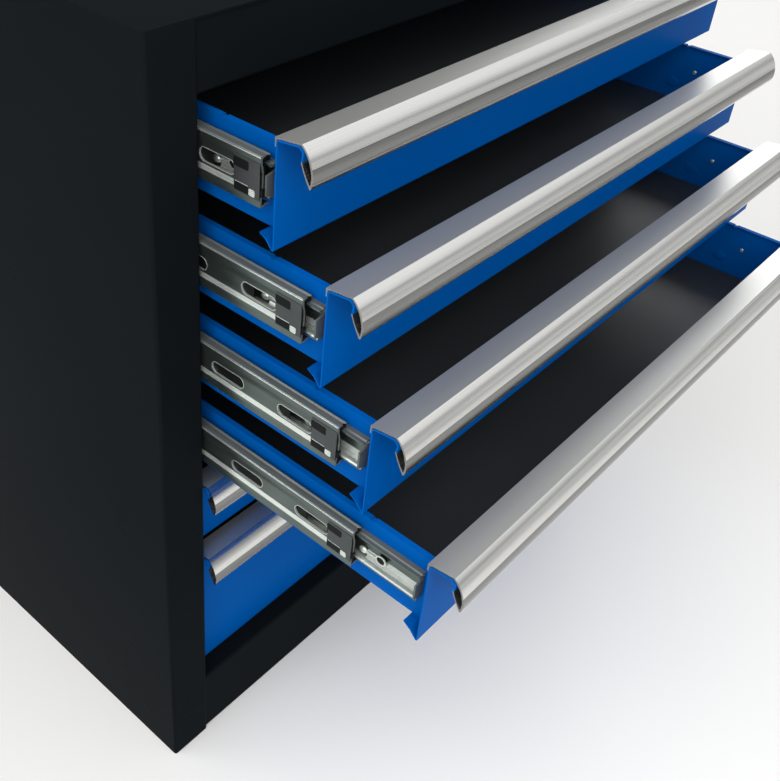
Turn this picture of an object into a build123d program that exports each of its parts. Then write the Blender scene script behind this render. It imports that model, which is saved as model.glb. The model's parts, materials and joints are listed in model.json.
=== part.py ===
from build123d import *
from math import cos, radians, tan
import os

# Drawer tool cabinet in folded sheet steel, in millimetres.
# X runs to the right, Y to the back and Z up. The origin is the middle of the base, on the floor.
# The four upper drawers stand open, each by its own amount, and the two lower ones are shut.

# Cabinet body
cabinet_width = 650.0
cabinet_depth = 460.0
body_sheet = 1.2
body_bend = 2.4
post_width = 37.5
post_return = 48.0
rear_flange = 22.0
base_height = 72.0
base_rail_depth = 58.0
rail_lip = 12.0
rail_recess = 1.6
top_rail_height = 44.5
top_rail_depth = 30.0
top_skirt = 20.0
floor_edge = 16.0
upright_depth = 44.0
upright_lap = 51.0
corner_gap = 0.3

# Drawer fronts
small_drawer_count = 5
small_front_height = 71.7
tall_front_height = 146.7
front_gap = 3.3
tall_front_gap = 5.3
base_gap = 1.5
side_gap = 2.5
front_recess = 16.8
drawer_sheet = 1.0
front_bend = 1.2
flange_reach = 15.4
lip_knee = (18.0, 3.6)
lip_end = (17.4, 8.8)
hem_angle = 42.0
hem_tail = 6.3

# Extruded aluminium handle, clipped over the top flange of each front.
# Places in its section are (forward of the front's face, below the drawer's top).
handle_wall = 1.2
handle_leg_wall = 1.0
handle_slope = 7.3
handle_back_drop = 1.2
handle_nose_start = 17.1
handle_nose_middle = (21.6, 3.5)
handle_waist = (25.0, 11.0)
handle_face_middle = (25.9, 16.5)
handle_lip = (24.9, 22.0)
handle_leg_foot = (23.9, 23.2)
handle_leg_middle = (19.9, 16.5)
handle_leg_top = (16.6, 9.4)
handle_hook = 5.6
handle_end_gap = 0.6
clip_play = 0.05

# Drawer boxes
box_depth = 400.0
box_top_drop = 9.5
box_floor_drop = 64.7
box_rim = 4.0
box_back_drop = 6.0
box_bend = 1.6
rim_notch_place = 50.0
rim_notch = 3.0
mat_thickness = 3.0
mat_margin = 1.5

# Ball bearing runners in three parts: one on the cabinet, one between, one on the drawer
runner_length = 400.0
runner_space = 12.8
runner_drop = 31.9
runner_sheet = 1.2
race_width = 1.6
race_slope = 0.8
race_depth = 0.8
race_rim = 0.6
outer_height = 40.0
outer_reach = 10.4
outer_lip = 1.2
middle_height = 31.2
middle_reach = 7.4
middle_band = 4.3
middle_band_slope = 5.4
middle_recess = 1.2
inner_height = 21.6
inner_reach = 7.1
tab_reach = 9.3
tab_foot = (-10.5, 6.5)
tab_edge = (-8.0, 4.5)
web_gap = 0.4
outer_front = 27.0
middle_front = 27.5
inner_front = 24.8
slot_length = 29.5
slot_height = 8.8
slot_first = 21.2
slot_pitch = 60.0
slot_count = 2
catch_length = 10.2
catch_from_front = 9.7
catch_height = 4.8
catch_rise = 6.7
stop_height = 5.6
stop_drop = 7.8
cage_length = 150.0
cage_wall = 0.8
cage_web_gap = 0.4
cage_reach = 6.5
cage_leg_gap = 0.9
strip_thickness = 1.7
strip_width = 4.8
strip_from_web = 2.5
runner_travel = 195.0
cage_end_clear = 10.0

# How far each drawer, and the middle runner under it, stands open in the rest pose
drawer_open = [75.1, 117.5, 158.1, 210.9, 0.0, 0.0]
middle_open = [75.1, 111.0, 144.6, 164.1, 0.0, 0.0]

front_y = -cabinet_depth / 2
back_y = cabinet_depth / 2
opening_half = cabinet_width / 2 - post_width
front_half = opening_half - side_gap
box_half = opening_half - runner_space
rail_face = front_y + rail_recess
wall_half = cabinet_width / 2 - body_sheet
back_inside = back_y - 2 * body_sheet
front_heights = [small_front_height] * small_drawer_count + [tall_front_height]
drawer_count = len(front_heights)

os.makedirs("parts", exist_ok=True)


def drawer_top(index):
    """Height of the top of a drawer front over the floor; drawer 0 is the highest."""
    top = base_height + base_gap + tall_front_height
    if index < small_drawer_count:
        below = small_drawer_count - 1 - index
        top += tall_front_gap + small_front_height + below * (small_front_height + front_gap)
    return top


cabinet_height = drawer_top(0) + front_gap + top_rail_height


def sheet(points, thickness, bend, plane, length):
    """Folded sheet: the line of one face, thickened to the left of its run, then extruded.

    The bend is one outside radius for all corners or a list of them, where 0 is a sharp fold.
    """
    outline = FilletPolyline(*points, radius=bend)
    strip = offset(outline, thickness, kind=Kind.INTERSECTION, side=Side.LEFT)
    return extrude(make_face(plane * strip), length, dir=plane.z_dir)


def plan_sheet(points, bend, bottom, top):
    """Cabinet sheet whose line is drawn in plan and runs up from one height to another."""
    return sheet(points, body_sheet, bend, Plane.XY.offset(bottom), top - bottom)


def across(half_width):
    """Drawing plane for outlines in (y, z) that run from left to right."""
    return Plane(origin=(-half_width, 0, 0), x_dir=(0, 1, 0), z_dir=(1, 0, 0))


def along(back):
    """Drawing plane for outlines in (x, z) that run forward from a place at the back."""
    return Plane(origin=(0, back, 0), x_dir=(1, 0, 0), z_dir=(0, -1, 0))


def block(low, high):
    """Rectangular block between two corners."""
    size = [b - a for a, b in zip(low, high)]
    middle = [(a + b) / 2 for a, b in zip(low, high)]
    return Pos(*middle) * Box(*size)


def pair(shape):
    """A left-hand piece and its right-hand twin."""
    return Compound([shape, mirror(shape, about=Plane.YZ)])


def save(shape, name):
    export_step(shape, "parts/" + name + ".step")


def side_panel():
    """Left side with its front post folded on: side, post face and return into the opening."""
    outer = -cabinet_width / 2
    points = [
        (outer + rear_flange, back_y),
        (outer, back_y),
        (outer, front_y),
        (-opening_half, front_y),
        (-opening_half, front_y + post_return),
    ]
    return plan_sheet(points, body_bend, 0, cabinet_height - body_sheet)


def back_panel():
    """Flat back, set against the rear flanges of the sides and clear of their bends."""
    half = cabinet_width / 2 - body_bend - corner_gap
    high = cabinet_height - body_sheet
    return block((-half, back_inside, body_sheet), (half, back_inside + body_sheet, high))


def top_panel():
    """Flat top whose side and back edges are turned down inside the cabinet walls."""
    front = front_y + body_bend
    low = cabinet_height - top_skirt
    plate = Box(cabinet_width, cabinet_depth, body_sheet)
    plate = fillet(plate.edges().filter_by(Axis.Z), body_bend)
    plate = Pos(0, 0, cabinet_height - body_sheet / 2) * plate
    skirt_top = cabinet_height - body_sheet
    skirt = block((-wall_half, front, low), (wall_half, back_inside, skirt_top))
    hollow_half = wall_half - body_sheet
    hollow = block(
        (-hollow_half, front - body_sheet, low - body_sheet),
        (hollow_half, back_inside - body_sheet, skirt_top),
    )
    return plate + (skirt - hollow)


def floor_panel():
    """Bottom of the cabinet, with its left and right edges turned up."""
    front = rail_face + base_rail_depth
    points = [
        (-wall_half, floor_edge),
        (-wall_half, 0),
        (wall_half, 0),
        (wall_half, floor_edge),
    ]
    return sheet(points, body_sheet, 0, along(back_inside), back_inside - front)


def base_rail():
    """Front rail under the lowest drawer: lip, top, face and bottom in one folded strip."""
    back = rail_face + base_rail_depth
    points = [
        (back, base_height - rail_lip),
        (back, base_height),
        (rail_face, base_height),
        (rail_face, 0),
        (back, 0),
    ]
    return sheet(points, body_sheet, body_bend, across(opening_half), 2 * opening_half)


def top_rail():
    """Front rail over the highest drawer."""
    low = cabinet_height - top_rail_height
    back = rail_face + top_rail_depth
    points = [
        (rail_face, cabinet_height - body_sheet),
        (rail_face, low),
        (back, low),
        (back, low + rail_lip),
    ]
    return sheet(points, body_sheet, body_bend, across(opening_half), 2 * opening_half)


def rear_upright():
    """Channel behind the left side panel that carries the rear ends of the runners."""
    near = front_y + outer_front + runner_length - upright_lap
    far = near + upright_depth
    points = [(-wall_half, near), (-opening_half, near), (-opening_half, far), (-wall_half, far)]
    return plan_sheet(points, 0, floor_edge, cabinet_height - top_skirt)


def panel_y(index):
    """Front face of a drawer front in the rest pose."""
    return front_y + front_recess - drawer_open[index]


def handle_top(index, forward):
    """Height of the sloping top of the handle at a place in front of the drawer front's face."""
    return drawer_top(index) - handle_back_drop + forward * tan(radians(handle_slope))


def drawer_front(index):
    """Drawer front in one sheet: lip, sloping top flange, face and the hem folded back below."""
    y = panel_y(index)
    top = drawer_top(index)
    flange_depth = (handle_wall + drawer_sheet) / cos(radians(handle_slope))
    bottom = top - front_heights[index]
    hem = box_levels(index)[0] - drawer_sheet
    sharp = bottom + front_bend - front_bend / tan(radians(hem_angle) / 2)
    hem_y = y + (hem - sharp) * tan(radians(hem_angle))
    points = [
        (y - lip_end[0], top - lip_end[1]),
        (y - lip_knee[0], top - lip_knee[1]),
        (y - flange_reach, handle_top(index, flange_reach) - flange_depth),
        (y, handle_top(index, 0) - flange_depth),
        (y, sharp),
        (hem_y, hem),
        (hem_y + hem_tail, hem),
    ]
    bends = [0, 0, front_bend, front_bend, front_bend]
    return sheet(points, drawer_sheet, bends, across(front_half), 2 * front_half)


def handle(index):
    """Aluminium section: hook, sloping top, rounded face and the leg that joins its lower lip."""
    y = panel_y(index)
    top = drawer_top(index)

    def at(point):
        return (y - point[0], top - point[1])

    hook = y + drawer_sheet + clip_play + handle_wall
    hook_top = handle_top(index, y - hook)
    nose = (y - handle_nose_start, handle_top(index, handle_nose_start))
    skin = Curve() + [
        Polyline((hook, hook_top - handle_hook), (hook, hook_top), nose),
        ThreePointArc(nose, at(handle_nose_middle), at(handle_waist)),
        ThreePointArc(at(handle_waist), at(handle_face_middle), at(handle_lip)),
    ]
    back_line = [at(point) for point in (handle_leg_top, handle_leg_middle, handle_leg_foot)]
    front_line = [(a - handle_leg_wall, b) for a, b in back_line[:2]] + [at(handle_lip)]
    leg = Curve() + [
        ThreePointArc(*back_line),
        Line(back_line[2], front_line[2]),
        ThreePointArc(*front_line),
        Line(front_line[0], back_line[0]),
    ]
    half = front_half - handle_end_gap
    plane = across(half)
    sections = [make_face(plane * offset(skin, handle_wall, side=Side.LEFT)), make_face(plane * leg)]
    solids = [extrude(section, 2 * half, dir=plane.z_dir) for section in sections]
    return solids[0] + solids[1]


def box_span(index):
    """Front and back of a drawer box, which is welded to the back of its front."""
    front = panel_y(index) + drawer_sheet
    return front, front + box_depth


def box_levels(index):
    """Underside of the floor and top of the rim of a drawer box."""
    extra = front_heights[index] - small_front_height
    top = drawer_top(index)
    return top - box_floor_drop - extra, top - box_top_drop


def drawer_box(index):
    """Drawer tray: floor, rimmed sides with a notch in each rim, front wall and back wall."""
    front, back = box_span(index)
    low, high = box_levels(index)
    points = [
        (-box_half + box_rim, high),
        (-box_half, high),
        (-box_half, low),
        (box_half, low),
        (box_half, high),
        (box_half - box_rim, high),
    ]
    tray = sheet(points, drawer_sheet, [0, box_bend, box_bend, 0], along(back), box_depth)
    half = box_half - drawer_sheet / 2
    wall_low = low + drawer_sheet / 2
    wall_high = high - drawer_sheet
    tray += block((-half, front, wall_low), (half, front + drawer_sheet, wall_high))
    back_high = high - box_back_drop
    tray += block((-half, back - drawer_sheet, wall_low), (half, back, back_high))
    notch = front + rim_notch_place
    cut = 2 * box_half
    return tray - block((-cut, notch, high - rim_notch), (cut, notch + rim_notch, high + rim_notch))


def drawer_mat(index):
    """Rubber mat lying on the drawer floor."""
    front, back = box_span(index)
    floor = box_levels(index)[0] + drawer_sheet
    half = box_half - drawer_sheet - mat_margin
    inset = drawer_sheet + mat_margin
    return block((-half, front + inset, floor), (half, back - inset, floor + mat_thickness))


def raced_channel(reach, height, web, web_line, away, front, centre):
    """Channel with a ball race pressed into each flange; away is +1 where it opens to the right.

    The web line has more points of the upper half of the web, as (away from the web, over the centre).
    """
    half = height / 2
    edge = web + away * reach
    rim = edge - away * race_rim
    race_1 = rim - away * race_slope
    race_2 = race_1 - away * race_width
    inner = race_2 - away * race_slope
    upper = [
        (edge, half),
        (rim, half),
        (race_1, half - race_depth),
        (race_2, half - race_depth),
        (inner, half),
        (web, half),
    ]
    upper += [(web + away * x, z) for x, z in web_line]
    lower = [(x, -z) for x, z in reversed(upper)]
    points = [(x, centre + z) for x, z in upper + lower]
    if away < 0:
        points.reverse()
    return sheet(points, runner_sheet, 0, along(front + runner_length), runner_length)


def runner_centre(index):
    return drawer_top(index) - runner_drop


def cabinet_runner(index):
    """Outer runner, fixed to the post return and the rear upright."""
    web = -opening_half
    half = outer_height / 2
    edge = web + outer_reach
    upper = [(edge, half - outer_lip), (edge - outer_lip, half), (web, half)]
    lower = [(x, -z) for x, z in reversed(upper)]
    points = [(x, runner_centre(index) + z) for x, z in upper + lower]
    back = front_y + outer_front + runner_length
    return sheet(points, runner_sheet, 0, along(back), runner_length)


def middle_start(index):
    return front_y + middle_front - middle_open[index]


def middle_web():
    """Outer face of the web of the middle runner."""
    return -opening_half + runner_sheet + web_gap


def middle_runner(index):
    """Middle runner: web set back between two bands, with slots and two windows at the front."""
    front = middle_start(index)
    centre = runner_centre(index)
    web = middle_web()
    band = middle_height / 2 - middle_band
    web_line = [(0, band), (middle_recess, band - middle_band_slope)]
    runner = raced_channel(middle_reach, middle_height, web, web_line, 1, front, centre)
    face = Plane(origin=(web - runner_sheet, 0, 0), x_dir=(0, 1, 0), z_dir=(1, 0, 0))
    cuts = Sketch()
    for number in range(slot_count):
        place = front + slot_first + slot_length / 2 + number * slot_pitch
        cuts += Pos(place, centre) * SlotOverall(slot_length, slot_height)
    window = front + catch_from_front + catch_length / 2
    cuts += Pos(window, centre + catch_rise) * Rectangle(catch_length, catch_height)
    cuts += Pos(window, centre - stop_drop) * Rectangle(catch_length, stop_height)
    return runner - extrude(face * cuts, middle_recess + 3 * runner_sheet)


def drawer_runner(index):
    """Inner runner on the side of the drawer box, opening towards the cabinet, with its end tab."""
    front = panel_y(index) + inner_front - front_recess
    centre = runner_centre(index)
    runner = raced_channel(inner_reach, inner_height, -box_half, [], -1, front, centre)
    corners = [
        (-box_half, centre + tab_foot[0]),
        (-box_half, centre + tab_foot[1]),
        (-box_half - tab_reach, centre + tab_edge[1]),
        (-box_half - tab_reach, centre + tab_edge[0]),
    ]
    plane = along(front + runner_sheet)
    tab = extrude(make_face(plane * Polyline(*corners, close=True)), runner_sheet, dir=plane.z_dir)
    return runner + tab


def inner_cage(index):
    """Ball cage between the middle runner and the drawer runner; it travels half as far."""
    lead = drawer_open[index] - middle_open[index]
    front = middle_start(index) + cage_end_clear + (runner_travel - lead) / 2
    centre = runner_centre(index)
    web = middle_web() + middle_recess + runner_sheet + cage_web_gap
    half = inner_height / 2 + cage_leg_gap + cage_wall
    points = [
        (web + cage_reach, centre + half),
        (web, centre + half),
        (web, centre - half),
        (web + cage_reach, centre - half),
    ]
    return sheet(points, cage_wall, 0, along(front + cage_length), cage_length)


def outer_cage(index):
    """Two ball strips between the cabinet runner and the middle runner; half its travel."""
    front = front_y + outer_front + cage_end_clear + (runner_travel - middle_open[index]) / 2
    left = middle_web() + strip_from_web
    between = (outer_height / 2 - runner_sheet + middle_height / 2) / 2
    strips = []
    for level in (runner_centre(index) + between, runner_centre(index) - between):
        low = (left, front, level - strip_thickness / 2)
        high = (left + strip_width, front + cage_length, level + strip_thickness / 2)
        strips.append(block(low, high))
    return Compound(strips)


save(side_panel(), "side_left")
save(mirror(side_panel(), about=Plane.YZ), "side_right")
save(back_panel(), "back_panel")
save(top_panel(), "top_panel")
save(floor_panel(), "floor_panel")
save(base_rail(), "base_rail")
save(top_rail(), "top_rail")
save(rear_upright(), "upright_left")
save(mirror(rear_upright(), about=Plane.YZ), "upright_right")

for index in range(drawer_count):
    name = f"drawer_{index + 1}"
    save(drawer_front(index), name + "_front")
    save(handle(index), name + "_handle")
    save(drawer_box(index), name + "_box")
    save(drawer_mat(index), name + "_mat")
    save(pair(drawer_runner(index)), name + "_inner_runners")
    save(pair(middle_runner(index)), name + "_middle_runners")
    save(pair(inner_cage(index)), name + "_inner_cages")
    save(pair(outer_cage(index)), name + "_outer_cages")

cabinet_runners = [cabinet_runner(index) for index in range(drawer_count)]
save(Compound(cabinet_runners), "cabinet_runners_left")
save(mirror(Compound(cabinet_runners), about=Plane.YZ), "cabinet_runners_right")
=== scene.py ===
import json
from math import pi, radians

import bmesh
import bpy
from mathutils import Matrix, Vector


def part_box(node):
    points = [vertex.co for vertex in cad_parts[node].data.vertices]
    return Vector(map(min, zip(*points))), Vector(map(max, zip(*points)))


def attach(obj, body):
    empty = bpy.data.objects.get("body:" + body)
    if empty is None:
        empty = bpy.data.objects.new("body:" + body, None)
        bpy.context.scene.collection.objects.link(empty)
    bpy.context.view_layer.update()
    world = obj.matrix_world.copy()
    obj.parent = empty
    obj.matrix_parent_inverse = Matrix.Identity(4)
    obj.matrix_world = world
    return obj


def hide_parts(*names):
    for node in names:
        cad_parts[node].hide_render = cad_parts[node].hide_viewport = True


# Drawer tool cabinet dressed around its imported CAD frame, in metres.
# X runs to the right, Y to the back and Z up. Drawer 1 is the highest of six.
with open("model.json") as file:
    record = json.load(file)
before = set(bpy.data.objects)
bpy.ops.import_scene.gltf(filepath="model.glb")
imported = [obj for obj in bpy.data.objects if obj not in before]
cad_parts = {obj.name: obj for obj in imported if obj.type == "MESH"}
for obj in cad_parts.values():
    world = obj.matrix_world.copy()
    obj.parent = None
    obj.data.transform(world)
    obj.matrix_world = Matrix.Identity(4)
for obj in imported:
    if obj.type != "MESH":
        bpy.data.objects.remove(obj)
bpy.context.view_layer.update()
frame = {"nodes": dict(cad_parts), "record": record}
nodes = frame["nodes"]
drawer_numbers = range(1, 7)
mm = 0.001


# Cabinet shell: side panels with their front posts, back, top, floor, rails and rear uprights.
# Folded 1.2 mm steel sheet, spot welded, under a satin black powder coat.
def new_material(name):
    """Empty node material with its shader; gives the material, its nodes, links and shader."""
    material = bpy.data.materials.new(name)
    material.use_nodes = True
    tree = material.node_tree
    return material, tree.nodes, tree.links, tree.nodes["Principled BSDF"]


def dress(piece, material):
    """Puts one material in every slot of a piece."""
    piece.data.materials.clear()
    piece.data.materials.append(material)
    for face in piece.data.polygons:
        face.material_index = 0


def grain(parts, links, scale, detail, stretch=(1.0, 1.0, 1.0)):
    """Noise in object coordinates, in cycles a metre, stretched along the axes."""
    place = parts.new("ShaderNodeTexCoord")
    mapping = parts.new("ShaderNodeMapping")
    mapping.inputs["Scale"].default_value = stretch
    noise = parts.new("ShaderNodeTexNoise")
    noise.inputs["Scale"].default_value = scale
    noise.inputs["Detail"].default_value = detail
    links.new(place.outputs["Object"], mapping.inputs["Vector"])
    links.new(mapping.outputs["Vector"], noise.inputs["Vector"])
    return noise.outputs["Fac"]


def spread(parts, links, source, low, high, target):
    """Maps the middle of a noise, where most of it lies, onto a range of one shader value."""
    noise_low, noise_high = 0.3, 0.7
    ramp = parts.new("ShaderNodeMapRange")
    ramp.inputs["From Min"].default_value = noise_low
    ramp.inputs["From Max"].default_value = noise_high
    ramp.inputs["To Min"].default_value = low
    ramp.inputs["To Max"].default_value = high
    links.new(source, ramp.inputs["Value"])
    links.new(ramp.outputs["Result"], target)


def tint(parts, links, source, dark, light, target):
    """Mixes two colours by a pattern."""
    mix = parts.new("ShaderNodeMix")
    mix.data_type = "RGBA"
    mix.inputs["A"].default_value = (*dark, 1.0)
    mix.inputs["B"].default_value = (*light, 1.0)
    links.new(source, mix.inputs["Factor"])
    links.new(mix.outputs["Result"], target)


def rough_up(parts, links, source, strength, distance, shader):
    """Turns a pattern into fine relief."""
    bump = parts.new("ShaderNodeBump")
    bump.inputs["Strength"].default_value = strength
    bump.inputs["Distance"].default_value = distance
    links.new(source, bump.inputs["Height"])
    links.new(bump.outputs["Normal"], shader.inputs["Normal"])


def satin_black_coat():
    material, parts, links, shader = new_material("satin_black_coat")
    shader.inputs["Specular IOR Level"].default_value = 0.005
    clouds = grain(parts, links, scale=9.0, detail=3.0)
    tint(parts, links, clouds, dark=(0.0046, 0.0062, 0.0074), light=(0.0060, 0.0080, 0.0094),
         target=shader.inputs["Base Color"])
    spread(parts, links, clouds, low=0.27, high=0.33, target=shader.inputs["Roughness"])
    orange_peel = grain(parts, links, scale=900.0, detail=2.0)
    rough_up(parts, links, orange_peel, strength=0.05, distance=0.0002, shader=shader)
    return material


sheet_fold = 33.0
join_distance = 0.002 * mm


def smooth_folds(piece, fold=sheet_fold):
    """Shades small bends smooth and keeps sharp what turns by more than a fold, in degrees."""
    shape = bmesh.new()
    shape.from_mesh(piece.data)
    for edge in shape.edges:
        edge.smooth = edge.calc_face_angle(0.0) < radians(fold)
    for face in shape.faces:
        face.smooth = True
    shape.to_mesh(piece.data)
    shape.free()
    weights = piece.modifiers.new("flat_faces_stay_flat", "WEIGHTED_NORMAL")
    weights.keep_sharp = True


def new_piece(shape, name, body, material, fold=sheet_fold):
    """Makes a piece from a bmesh, with its faces outward, on a body of the frame."""
    bmesh.ops.remove_doubles(shape, verts=shape.verts[:], dist=join_distance)
    bmesh.ops.recalc_face_normals(shape, faces=shape.faces[:])
    mesh = bpy.data.meshes.new(name)
    shape.to_mesh(mesh)
    shape.free()
    piece = bpy.data.objects.new(name, mesh)
    bpy.context.scene.collection.objects.link(piece)
    dress(piece, material)
    smooth_folds(piece, fold)
    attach(piece, body)
    return piece


body_of = {}
for body, held in frame["record"]["behaviour"]["bodies"].items():
    for node in held:
        body_of[node] = body


def twin_shape(node):
    """Merged copy of a CAD node's mesh."""
    shape = bmesh.new()
    shape.from_mesh(nodes[node].data)
    bmesh.ops.remove_doubles(shape, verts=shape.verts[:], dist=join_distance)
    return shape


def twin(node, material, shape=None):
    """Smooth-shaded twin that stands for a CAD node."""
    shape = shape or twin_shape(node)
    piece = new_piece(shape, node + "_skin", body_of[node], material)
    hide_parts(node)
    return piece


black_coat = satin_black_coat()
for name in ["side_left", "side_right", "top_panel", "base_rail", "top_rail"]:
    dress(nodes[name], black_coat)
    twin(name, black_coat)
for name in ["back_panel", "floor_panel", "upright_left", "upright_right"]:
    dress(nodes[name], black_coat)


# Runner members: one fixed in the cabinet, one between and one on each side of every drawer.
# Cold rolled strip with pressed ball races, zinc plated with an olive passivation.
def zinc_plate(name, dark, light, shiny, dull, metal):
    """Zinc plate with marks of rolling along the runners and cloudy bloom."""
    material, parts, links, shader = new_material(name)
    shader.inputs["Metallic"].default_value = metal
    drawn = grain(parts, links, scale=260.0, detail=3.0, stretch=(1.0, 0.05, 1.0))
    bloom = grain(parts, links, scale=45.0, detail=4.0)
    tint(parts, links, bloom, dark, light, target=shader.inputs["Base Color"])
    spread(parts, links, drawn, low=shiny, high=dull, target=shader.inputs["Roughness"])
    rough_up(parts, links, drawn, strength=0.10, distance=0.0001, shader=shader)
    return material


def runner_frame(node):
    """Front end, rear end and middle height of a pair of runners."""
    low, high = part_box(node)
    return low[1], high[1], (low[2] + high[2]) / 2


zinc = zinc_plate("zinc_plate", dark=(0.085, 0.112, 0.105), light=(0.135, 0.165, 0.152),
                  shiny=0.26, dull=0.36, metal=0.9)
# Lit copy of the zinc plate, bright as a painted highlight.
highlight_zinc = zinc_plate("zinc_plate_painted_highlight", dark=(0.48, 0.52, 0.49), light=(0.64, 0.68, 0.65),
                         shiny=0.22, dull=0.32, metal=0.65)
# Dull copy of the zinc plate for the cut ends, which is also painted shade on faces that slope up.
cut_end_and_shade_zinc = zinc_plate("zinc_plate_cut_end_and_painted_shade", dark=(0.10, 0.11, 0.10), light=(0.15, 0.16, 0.145),
                      shiny=0.35, dull=0.45, metal=0.3)
highlight_face, cut_end_or_shade_face = 1, 2
# Least part of a face's unit normal along an axis for it to look that way.
looks_along, looks_partly_along, slopes_up_by = 0.9, 0.5, 0.12
slot_zone_half = 5.0 * mm
slot_zone_from = 20.0 * mm
for side in ("left", "right"):
    dress(nodes[f"cabinet_runners_{side}"], zinc)
for number in drawer_numbers:
    for kind in ("middle", "inner"):
        name = f"drawer_{number}_{kind}_runners"
        dress(nodes[name], zinc)
        piece = twin(name, zinc)
        piece.data.materials.append(highlight_zinc)
        piece.data.materials.append(cut_end_and_shade_zinc)
        start, _, centre = runner_frame(name)
        # Faces that slope up in the lower half of an inner runner, and the walls of a middle
        # runner's slots, take the lit copy as a painted highlight. Faces that slope up in the upper
        # half take the dull copy as painted shade, and so do the cut ends.
        for face in piece.data.polygons:
            rise = face.center.z - centre
            in_slot = abs(rise) < slot_zone_half and face.center.y > start + slot_zone_from
            slot_wall = in_slot and abs(face.normal.x) < looks_partly_along
            slopes_up = face.normal.z > slopes_up_by
            cut_end = abs(face.normal.y) > looks_along
            if kind == "inner" and slopes_up and rise < 0:
                face.material_index = highlight_face
            elif kind == "middle" and slot_wall:
                face.material_index = highlight_face
            elif cut_end or (slopes_up and rise > 0):
                face.material_index = cut_end_or_shade_face


# Fittings of each middle runner: bars along its bends in the lit zinc as painted highlights, rims of
# the slots and a steel tab in the lit zinc too, a flat end plate, black plastic in the windows and
# the mouth, and black pieces behind the slots as painted shade. The steel ones are pressed out of
# the runner or riveted on. The plastic ones in the windows and the mouth are snapped in.
opening_half = 287.5 * mm
outer_sheet = 1.2 * mm
member_gap = 0.4 * mm
band_x = -opening_half + outer_sheet + member_gap
web_depth = 1.2
web_x = band_x + web_depth * mm
slot_size = (29.5 * mm, 8.8 * mm)
slot_first = 21.2 * mm
slot_pitch = 60.0 * mm
slot_rim, slot_rim_height = 0.4 * mm, 0.2 * mm
pressed_fold = 50.0

# Spans of the fittings on a left runner in mm: to the right of its bands, back from its front
# end and up from its middle. What stands on the bands keeps clear of the cabinet runner.
plate_face, plastic_face = -0.25, -0.30
window_from, window_to = 9.7, 19.9
plate_half = 11.4
end_plate = [
    ((plate_face, 0.0), (window_from, window_to), (-plate_half, -10.6)),
    ((plate_face, 0.0), (window_from, window_to), (-5.0, 4.3)),
    ((plate_face, 0.0), (window_from, window_to), (9.1, plate_half)),
    ((plate_face, 0.0), (0.5, window_from), (-plate_half, plate_half)),
    ((plate_face, 0.0), (window_to, window_to + 0.8), (-plate_half, plate_half)),
]
upper_catch = ((plastic_face, 2.3), (9.1, 21.3), (3.7, 9.6))
upper_catch_corner = 1.2 * mm
lower_catch = ((plastic_face, 2.2), (9.3, 20.5), (-10.8, -5.7))
lower_catch_corner = 0.6 * mm
mouth_stop = ((2.5, 4.1), (0.2, 5.0), (-8.6, 8.8))
mouth_foot = ((0.4, 3.4), (-1.0, 2.4), (-9.3, -4.0))
mouth_round = 0.6 * mm
race_plug = ((2.2, 7.0), (-0.1, 1.0), (12.2, 15.0))
# Black pieces behind the slots, dark as painted shade in the slots.
slot_shade_backs = [
    ((2.5, 3.3), (20.4, 23.6), (-3.4, 1.6)),
    ((2.5, 3.3), (41.5, 52.0), (-4.9, 4.9)),
    ((2.5, 3.3), (80.0, 112.0), (-4.9, 4.9)),
]
steel_tab = ((plastic_face, 0.4), (4.2, 8.9), (-10.8, -6.4))
steel_tab_corner = 1.0 * mm
# Thin bar in the lit zinc along the lower window: a painted highlight.
window_edge_highlight = ((plastic_face, 0.3), (window_from, window_to), (-5.8, -5.3))

# Sections of the painted highlight lines in mm, to the right of the bands and up from the runner's
# middle.
top_line = [(-0.06, 14.6), (-0.06, 15.3), (0.3, 15.66), (0.9, 15.66), (0.9, 14.6)]
low_line = [(web_depth - 0.06, -6.1), (web_depth - 0.81, -9.4), (web_depth + 0.3, -9.4),
            (web_depth + 0.3, -6.1)]
line_end = 0.2 * mm


def black_plastic():
    material, parts, links, shader = new_material("black_plastic")
    shader.inputs["Specular IOR Level"].default_value = 0.06
    mould = grain(parts, links, scale=800.0, detail=3.0)
    tint(parts, links, mould, dark=(0.004, 0.005, 0.005), light=(0.007, 0.008, 0.008),
         target=shader.inputs["Base Color"])
    spread(parts, links, mould, low=0.28, high=0.40, target=shader.inputs["Roughness"])
    rough_up(parts, links, mould, strength=0.10, distance=0.0001, shader=shader)
    return material


def block(shape, low, high, edge=0.0):
    """Block between two corners, with its edges eased by a small round."""
    made = bmesh.ops.create_cube(shape, size=1.0)["verts"]
    low, high = Vector(low), Vector(high)
    bmesh.ops.scale(shape, vec=high - low, verts=made)
    bmesh.ops.translate(shape, vec=(low + high) / 2, verts=made)
    if edge:
        edges = list({e for v in made for e in v.link_edges})
        bmesh.ops.bevel(shape, geom=edges, affect="EDGES", offset=edge, segments=2,
                        profile=0.5, material=-1)
    return made


def fitting(shape, spans, start, centre, edge=0.0):
    """Block on a left middle runner from its spans in mm."""
    lows, highs = zip(*spans)
    low, high = [(band_x + x * mm, start + y * mm, centre + z * mm) for x, y, z in (lows, highs)]
    return block(shape, low, high, edge)


def ease_corners(shape, made, radius):
    """Rounds the corners of a block as seen from the side of the cabinet."""
    edges = [e for e in {e for v in made for e in v.link_edges}
             if abs(e.verts[0].co.x - e.verts[1].co.x) > 0.5 * e.calc_length()]
    bmesh.ops.bevel(shape, geom=edges, affect="EDGES", offset=radius, segments=3,
                    profile=0.5, material=-1)


def bar(shape, section, low_y, high_y):
    """Bar along Y with a section given by its corners in X and Z."""
    face = shape.faces.new([shape.verts.new((x, low_y, z)) for x, z in section])
    drawn = bmesh.ops.extrude_face_region(shape, geom=[face])["geom"]
    ends = [v for v in drawn if isinstance(v, bmesh.types.BMVert)]
    bmesh.ops.translate(shape, verts=ends, vec=(0, high_y - low_y, 0))


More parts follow.
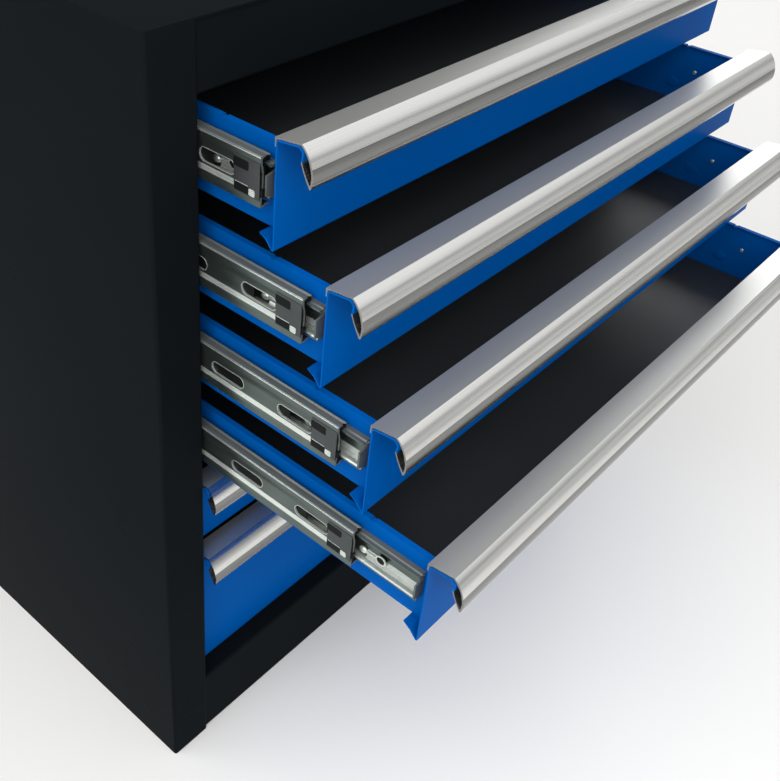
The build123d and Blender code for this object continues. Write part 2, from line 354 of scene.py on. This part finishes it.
def mirror_pair(shape):
    """Adds the right-hand twin of a left-hand shape."""
    bmesh.ops.mirror(shape, geom=shape.verts[:] + shape.edges[:] + shape.faces[:],
                     matrix=Matrix.Identity(4), merge_dist=0.0, axis="X")


def stadium_ring(shape, middle, size, rim, height):
    """Raised rim round a long hole with round ends, on a face that looks to the left."""
    length, tall = size
    ring = bmesh.ops.create_circle(shape, cap_ends=True, radius=tall / 2 + rim, segments=28)["verts"]
    to_the_left = Matrix.Rotation(-pi / 2, 3, "Y")
    bmesh.ops.rotate(shape, verts=ring, cent=(0, 0, 0), matrix=to_the_left)
    for vertex in ring:
        vertex.co.y += (length - tall) / 2 * (1 if vertex.co.y > 0 else -1)
    bmesh.ops.translate(shape, verts=ring, vec=middle)
    cap = [face for face in shape.faces if all(v in ring for v in face.verts)]
    inner = bmesh.ops.inset_region(shape, faces=cap, thickness=rim, use_boundary=True,
                                   use_even_offset=True)["faces"]
    bmesh.ops.delete(shape, geom=cap, context="FACES_ONLY")
    raised = bmesh.ops.extrude_face_region(shape, geom=inner)["geom"]
    tops = [v for v in raised if isinstance(v, bmesh.types.BMVert)]
    bmesh.ops.translate(shape, verts=tops, vec=(-height, 0, 0))


def painted_highlight_line(shape, section, centre, low_y, high_y):
    """Bar along a left middle runner from its section in mm."""
    bar(shape, [(band_x + x * mm, centre + z * mm) for x, z in section], low_y, high_y)


plastic = black_plastic()
plate_zinc = zinc_plate("zinc_plate_end", dark=(0.040, 0.046, 0.048), light=(0.058, 0.066, 0.068),
                        shiny=0.30, dull=0.40, metal=0.6)
for number in drawer_numbers:
    start, end, centre = runner_frame(f"drawer_{number}_middle_runners")
    body = f"middle_{number}"

    rims = bmesh.new()
    for place in (0, 1):
        slot_middle = start + slot_first + slot_size[0] / 2 + place * slot_pitch
        stadium_ring(rims, (web_x, slot_middle, centre), slot_size, slot_rim, slot_rim_height)
    mirror_pair(rims)
    new_piece(rims, f"drawer_{number}_slot_rims", body, highlight_zinc, pressed_fold)

    # Bars in the lit zinc along the bends: painted highlights.
    lines = bmesh.new()
    painted_highlight_line(lines, top_line, centre, start + line_end, end - line_end)
    painted_highlight_line(lines, low_line, centre, start + window_to * mm, end - line_end)
    mirror_pair(lines)
    new_piece(lines, f"drawer_{number}_painted_highlight_lines", body, highlight_zinc)

    plate = bmesh.new()
    for spans in end_plate:
        fitting(plate, spans, start, centre)
    mirror_pair(plate)
    new_piece(plate, f"drawer_{number}_end_plates", body, plate_zinc)

    stops = bmesh.new()
    ease_corners(stops, fitting(stops, upper_catch, start, centre), upper_catch_corner)
    ease_corners(stops, fitting(stops, lower_catch, start, centre), lower_catch_corner)
    fitting(stops, mouth_stop, start, centre, mouth_round)
    fitting(stops, mouth_foot, start, centre, mouth_round)
    fitting(stops, race_plug, start, centre)
    for spans in slot_shade_backs:
        fitting(stops, spans, start, centre)
    mirror_pair(stops)
    new_piece(stops, f"drawer_{number}_runner_stops", body, plastic)

    tabs = bmesh.new()
    ease_corners(tabs, fitting(tabs, steel_tab, start, centre), steel_tab_corner)
    fitting(tabs, window_edge_highlight, start, centre)
    mirror_pair(tabs)
    new_piece(tabs, f"drawer_{number}_stop_tabs", body, highlight_zinc)


# Eyelet and domed catch on the web of each inner runner, and two sloped bars on its lower bands as
# painted highlights, by the front only. Plated steel, riveted through the web where it hooks on to
# the drawer, all in the lit zinc. A black plug fills the eyelet's hole as painted shade.
web_inner_x = -275.9 * mm
eyelet_out = 2.6 * mm
eyelet_back, eyelet_up = 31.3 * mm, -1.4 * mm
eyelet_size = (6.2 * mm, 5.4 * mm)
eyelet_rim, eyelet_height = 1.1 * mm, 0.7 * mm
eye_shade_plug_out = (2.8 * mm, 0.2 * mm)
eye_shade_plug_span = (28.1 * mm, 34.5 * mm)
eye_shade_plug_rise = (-4.2 * mm, 1.4 * mm)
eye_shade_plug_corner = 2.6 * mm
dome_half = (1.7 * mm, 3.4 * mm, 2.7 * mm)
dome_out, dome_back, dome_up = 1.2 * mm, 46.8 * mm, -4.0 * mm
link_out = (1.6 * mm, 0.1 * mm)
link_span = (36.0 * mm, 45.0 * mm)
link_rise = (-5.6 * mm, -3.6 * mm)
link_round = 0.5 * mm
# Span and sections of the sloped bars in the lit zinc, painted highlights on the lower bands.
slope_span = (1.3 * mm, 44.0 * mm)
slopes = [(-2.6 * mm, -5.6 * mm, 1.5 * mm), (-6.4 * mm, -9.8 * mm, 2.4 * mm)]
for number in drawer_numbers:
    start, _, centre = runner_frame(f"drawer_{number}_inner_runners")
    body = f"drawer_{number}"

    catch = bmesh.new()
    stadium_ring(catch, (web_inner_x - eyelet_out, start + eyelet_back, centre + eyelet_up),
                 eyelet_size, eyelet_rim, eyelet_height)
    dome = bmesh.ops.create_uvsphere(catch, u_segments=20, v_segments=12, radius=1.0)["verts"]
    bmesh.ops.scale(catch, vec=dome_half, verts=dome)
    bmesh.ops.translate(catch, verts=dome,
                        vec=(web_inner_x - dome_out, start + dome_back, centre + dome_up))
    block(catch, (web_inner_x - link_out[0], start + link_span[0], centre + link_rise[0]),
          (web_inner_x - link_out[1], start + link_span[1], centre + link_rise[1]), link_round)
    for head, foot, reach in slopes:
        section = [(web_inner_x - reach, centre + foot), (web_inner_x, centre + head),
                   (web_inner_x, centre + foot)]
        bar(catch, section, start + slope_span[0], start + slope_span[1])
    mirror_pair(catch)
    new_piece(catch, f"drawer_{number}_catches", body, highlight_zinc, pressed_fold)

    # Black plug in the eyelet's hole: painted shade.
    plug = bmesh.new()
    plug_low = (web_inner_x - eye_shade_plug_out[0], start + eye_shade_plug_span[0], centre + eye_shade_plug_rise[0])
    plug_high = (web_inner_x - eye_shade_plug_out[1], start + eye_shade_plug_span[1], centre + eye_shade_plug_rise[1])
    ease_corners(plug, block(plug, plug_low, plug_high), eye_shade_plug_corner)
    mirror_pair(plug)
    new_piece(plug, f"drawer_{number}_eye_shade_plugs", body, plastic)


# Ball cages between the runner members and the balls that roll in them. Thin pressed steel
# strip, left plain, and polished bearing balls.
def plain_cage_steel():
    material, parts, links, shader = new_material("plain_cage_steel")
    shader.inputs["Metallic"].default_value = 1.0
    scuffs = grain(parts, links, scale=120.0, detail=4.0)
    tint(parts, links, scuffs, dark=(0.33, 0.34, 0.33), light=(0.50, 0.51, 0.50),
         target=shader.inputs["Base Color"])
    spread(parts, links, scuffs, low=0.28, high=0.42, target=shader.inputs["Roughness"])
    return material


def ball_steel():
    material, parts, links, shader = new_material("ball_steel")
    shader.inputs["Metallic"].default_value = 1.0
    polish = grain(parts, links, scale=500.0, detail=2.0)
    tint(parts, links, polish, dark=(0.66, 0.66, 0.65), light=(0.74, 0.74, 0.73),
         target=shader.inputs["Base Color"])
    spread(parts, links, polish, low=0.06, high=0.12, target=shader.inputs["Roughness"])
    return material


cage_steel = plain_cage_steel()
polished_ball = ball_steel()
ball_pitch = 12.5 * mm
race_x = -280.5 * mm
ball_fold = 80.0
ball_rows = [("inner", 1.7 * mm, 11.8 * mm), ("outer", 1.9 * mm, 16.8 * mm)]
for number in drawer_numbers:
    centre = runner_frame(f"drawer_{number}_middle_runners")[2]
    for kind, radius, rise in ball_rows:
        name = f"drawer_{number}_{kind}_cages"
        dress(nodes[name], cage_steel)
        low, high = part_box(name)
        balls = bmesh.new()
        count = int((high[1] - low[1]) / ball_pitch)
        for step in range(count):
            back = low[1] + (step + 0.5) * ball_pitch
            for level in (-rise, rise):
                place = Matrix.Translation((race_x, back, centre + level))
                bmesh.ops.create_icosphere(balls, subdivisions=2, radius=radius, matrix=place)
        mirror_pair(balls)
        new_piece(balls, f"drawer_{number}_{kind}_balls", body_of[name],
                  polished_ball, ball_fold)


# Drawer fronts and boxes. One folded front sheet welded to a folded tray, 1 mm steel under a
# smooth blue powder coat. The tail of the front's hem is cut at a slant at both ends.
def blue_powder_coat():
    material, parts, links, shader = new_material("blue_powder_coat")
    shader.inputs["Specular IOR Level"].default_value = 0.01
    clouds = grain(parts, links, scale=12.0, detail=2.0)
    tint(parts, links, clouds, dark=(0.0, 0.074, 0.315), light=(0.0, 0.087, 0.36),
         target=shader.inputs["Base Color"])
    spread(parts, links, clouds, low=0.30, high=0.36, target=shader.inputs["Roughness"])
    orange_peel = grain(parts, links, scale=700.0, detail=2.0)
    rough_up(parts, links, orange_peel, strength=0.05, distance=0.0002, shader=shader)
    return material


blue_coat = blue_powder_coat()
drawer_sheet = 1.0 * mm
tail_cut = 2.2 * mm
tail_edge = 0.5 * mm
for number in drawer_numbers:
    name = f"drawer_{number}_front"
    dress(nodes[name], blue_coat)
    low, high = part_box(name)
    shape = twin_shape(name)
    for vertex in shape.verts:
        if vertex.co.y > high[1] - tail_edge:
            vertex.co.x -= tail_cut * (1 if vertex.co.x > 0 else -1)
    twin(name, blue_coat, shape)
    name = f"drawer_{number}_box"
    dress(nodes[name], blue_coat)
    twin(name, blue_coat)


# Pressed dimple and rivet on the inside of each side of a drawer, by the front, and the soft
# bottom of the notch in the side's rim. Painted with the sheet, but for the rivet, in the lit zinc
# as a painted highlight.
box_half = 274.7 * mm
pressed_round = 60.0
dimple_half = (0.9 * mm, 6.5 * mm, 5.0 * mm)
dimple_back, dimple_down = 58.0 * mm, 37.0 * mm
notch_back, notch_length, notch_play = 50.0 * mm, 3.0 * mm, 0.05 * mm
rim_width, notch_foot, notch_dip = 4.0 * mm, 3.0 * mm, 0.9 * mm
rivet_half = (0.8 * mm, 2.0 * mm, 2.0 * mm)
rivet_back, rivet_down = 39.5 * mm, 23.0 * mm
for number in drawer_numbers:
    low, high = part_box(f"drawer_{number}_box")
    front, top = low[1], high[2]
    wall = -box_half + drawer_sheet
    body = f"drawer_{number}"

    dimple = bmesh.new()
    bmesh.ops.create_uvsphere(dimple, u_segments=24, v_segments=12, radius=1.0)
    bmesh.ops.scale(dimple, vec=dimple_half, verts=dimple.verts[:])
    bmesh.ops.translate(dimple, vec=(wall, front + dimple_back, top - dimple_down),
                        verts=dimple.verts[:])
    notch = front + notch_back
    block(dimple, (-box_half, notch - notch_play, top - notch_foot),
          (-box_half + rim_width, notch + notch_length + notch_play, top - notch_dip))
    mirror_pair(dimple)
    new_piece(dimple, f"drawer_{number}_dimples", body, blue_coat, pressed_round)

    rivet = bmesh.new()
    bmesh.ops.create_uvsphere(rivet, u_segments=16, v_segments=10, radius=1.0)
    bmesh.ops.scale(rivet, vec=rivet_half, verts=rivet.verts[:])
    bmesh.ops.translate(rivet, vec=(wall, front + rivet_back, top - rivet_down),
                        verts=rivet.verts[:])
    mirror_pair(rivet)
    new_piece(rivet, f"drawer_{number}_rivets", body, highlight_zinc, pressed_round)


# Handle strips. Extruded aluminium with fine die lines along its length, bright on its nose, with
# painted shade on its top leg, under its nose and on its sawn ends, clipped over the top flange of
# each drawer front.
def drawn_aluminium(name, dark, light, shiny, dull, metal):
    """Aluminium with die lines along the handle."""
    material, parts, links, shader = new_material(name)
    shader.inputs["Metallic"].default_value = metal
    die_lines = grain(parts, links, scale=1400.0, detail=2.0, stretch=(0.004, 1.0, 1.0))
    tint(parts, links, die_lines, dark, light, target=shader.inputs["Base Color"])
    spread(parts, links, die_lines, low=shiny, high=dull, target=shader.inputs["Roughness"])
    rough_up(parts, links, die_lines, strength=0.03, distance=0.00005, shader=shader)
    return material


shaded_aluminium = drawn_aluminium("shaded_aluminium", dark=(0.19, 0.19, 0.185),
                                   light=(0.29, 0.29, 0.28), shiny=0.24, dull=0.32, metal=1.0)
aluminium = drawn_aluminium("bright_aluminium", dark=(0.62, 0.62, 0.605),
                            light=(0.77, 0.765, 0.745), shiny=0.20, dull=0.28, metal=1.0)
top_shade_aluminium = drawn_aluminium("top_shade_aluminium", dark=(0.44, 0.445, 0.43),
                                  light=(0.47, 0.475, 0.46), shiny=0.34, dull=0.38, metal=0.7)
top_shade_part, shaded_part = 1, 2
top_leg_slope = 0.985
under_nose_from, under_nose_to = -0.2, 0.27
for number in drawer_numbers:
    name = f"drawer_{number}_handle"
    dress(nodes[name], aluminium)
    piece = twin(name, aluminium)
    piece.data.materials.append(top_shade_aluminium)
    piece.data.materials.append(shaded_aluminium)
    # Darker copies of the aluminium on the top leg, under the nose and on the sawn ends are painted
    # shade.
    for face in piece.data.polygons:
        to_the_front = face.normal.y < -looks_partly_along
        under_nose = to_the_front and under_nose_from < face.normal.z < under_nose_to
        sawn_end = abs(face.normal.x) > looks_along
        if face.normal.z > top_leg_slope:
            face.material_index = top_shade_part
        elif sawn_end or under_nose:
            face.material_index = shaded_part


# Drawer mats. Dark grey rubber sheet with a fine matt grain, cut to the floor of each drawer
# and laid in it loose.
def rubber_sheet():
    material, parts, links, shader = new_material("rubber_sheet")
    shader.inputs["Specular IOR Level"].default_value = 0.3
    patches = grain(parts, links, scale=15.0, detail=3.0)
    tint(parts, links, patches, dark=(0.024, 0.027, 0.030), light=(0.033, 0.037, 0.041),
         target=shader.inputs["Base Color"])
    fine = grain(parts, links, scale=1500.0, detail=3.0)
    spread(parts, links, fine, low=0.34, high=0.44, target=shader.inputs["Roughness"])
    rough_up(parts, links, fine, strength=0.18, distance=0.0002, shader=shader)
    return material


rubber = rubber_sheet()
for number in drawer_numbers:
    dress(nodes[f"drawer_{number}_mat"], rubber)


# Floor of the studio: one wide sheet of pale matt card under the cabinet. It is a part of the
# stage and takes the cabinet's shadow.
def pale_floor():
    material, parts, links, shader = new_material("pale_floor")
    shader.inputs["Base Color"].default_value = (0.78, 0.775, 0.76, 1.0)
    shader.inputs["Roughness"].default_value = 0.9
    shader.inputs["Specular IOR Level"].default_value = 0.1
    return material


floor_half = 8.0
floor_shape = bmesh.new()
bmesh.ops.create_grid(floor_shape, x_segments=1, y_segments=1, size=floor_half)
floor_mesh = bpy.data.meshes.new("studio_floor")
floor_shape.to_mesh(floor_mesh)
floor_shape.free()
studio_floor = bpy.data.objects.new("studio_floor", floor_mesh)
bpy.context.scene.collection.objects.link(studio_floor)
dress(studio_floor, pale_floor())


# Soft studio light: a surround that is pale low down, grey above that and bright overhead to
# the front, and large lamps with soft edges.
def surround(low_steps, bright_way, bright_steps):
    """World light from the height over the horizon and from the angle to the bright part."""
    world = bpy.data.worlds.new("surround")
    bpy.context.scene.world = world
    world.use_nodes = True
    tree = world.node_tree
    place = tree.nodes.new("ShaderNodeTexCoord")
    split = tree.nodes.new("ShaderNodeSeparateXYZ")
    toward = tree.nodes.new("ShaderNodeVectorMath")
    toward.operation = "DOT_PRODUCT"
    toward.inputs[1].default_value = Vector(bright_way).normalized()
    tree.links.new(place.outputs["Generated"], split.inputs["Vector"])
    tree.links.new(place.outputs["Generated"], toward.inputs[0])
    levels = []
    for source, steps in ((split.outputs["Z"], low_steps), (toward.outputs["Value"], bright_steps)):
        ramp = tree.nodes.new("ShaderNodeValToRGB")
        while len(ramp.color_ramp.elements) < len(steps):
            ramp.color_ramp.elements.new(0.5)
        for element, (height, level) in zip(ramp.color_ramp.elements, steps):
            element.position = height
            element.color = (level, level, level, 1.0)
        tree.links.new(source, ramp.inputs["Fac"])
        levels.append(ramp.outputs["Color"])
    brighter = tree.nodes.new("ShaderNodeMix")
    brighter.data_type = "RGBA"
    brighter.blend_type = "LIGHTEN"
    brighter.inputs["Factor"].default_value = 1.0
    tree.links.new(levels[0], brighter.inputs["A"])
    tree.links.new(levels[1], brighter.inputs["B"])
    tree.links.new(brighter.outputs["Result"], tree.nodes["Background"].inputs["Color"])


def soft_lamp(name, place, aim, width, height, power):
    """Studio lamp that looks from its place at a point and isn't seen itself."""
    data = bpy.data.lights.new(name, "AREA")
    data.shape = "RECTANGLE"
    data.size = width
    data.size_y = height
    data.energy = power
    lamp = bpy.data.objects.new(name, data)
    bpy.context.scene.collection.objects.link(lamp)
    lamp.location = place
    lamp.rotation_mode = "QUATERNION"
    lamp.rotation_quaternion = (Vector(aim) - Vector(place)).to_track_quat("-Z", "Y")
    lamp.visible_camera = False


horizon_to_zenith = [(0.0, 0.74), (0.10, 0.66), (0.20, 0.22), (0.60, 0.26), (1.0, 0.40)]
overhead_panel = [(0.0, 0.0), (0.62, 0.22), (0.80, 0.80), (1.0, 0.90)]
toward_panel = (0.40, -0.30, 0.87)
surround(horizon_to_zenith, toward_panel, overhead_panel)
soft_lamp("key_lamp", place=(1.7, -1.5, 2.3), aim=(0.0, -0.3, 0.4), width=2.6, height=2.6, power=5.0)
soft_lamp("left_lamp", place=(-2.0, -1.0, 2.2), aim=(-0.2, -0.2, 0.4), width=3.0, height=3.0,
          power=90.0)
soft_lamp("edge_lamp", place=(-1.7, 1.3, 1.7), aim=(-0.3, -0.2, 0.45), width=1.2, height=1.2,
          power=14.0)
soft_lamp("front_lamp", place=(-0.9, -2.5, 1.2), aim=(0.0, -0.4, 0.4), width=1.8, height=1.8,
          power=13.0)
soft_lamp("right_lamp", place=(2.6, 0.6, 1.8), aim=(0.0, -0.3, 0.45), width=1.5, height=1.5,
          power=26.0)


# Camera: close to the cabinet's left front corner and above it, as in the photograph. Its
# lens is shifted, because the photograph is a part of a wider view.
camera_data = bpy.data.cameras.new("camera")
camera_data.lens = 47.0
camera_data.sensor_width = 36.0
camera_data.shift_x = 0.0896
camera_data.shift_y = -0.0583
camera_data.clip_start = 0.01
camera = bpy.data.objects.new("camera", camera_data)
bpy.context.scene.collection.objects.link(camera)
camera.location = (-0.6471, -0.6279, 0.8289)
camera.rotation_euler = (radians(53.46), radians(-3.31), radians(-47.87))
bpy.context.scene.camera = camera
bpy.context.scene.view_settings.view_transform = "Standard"
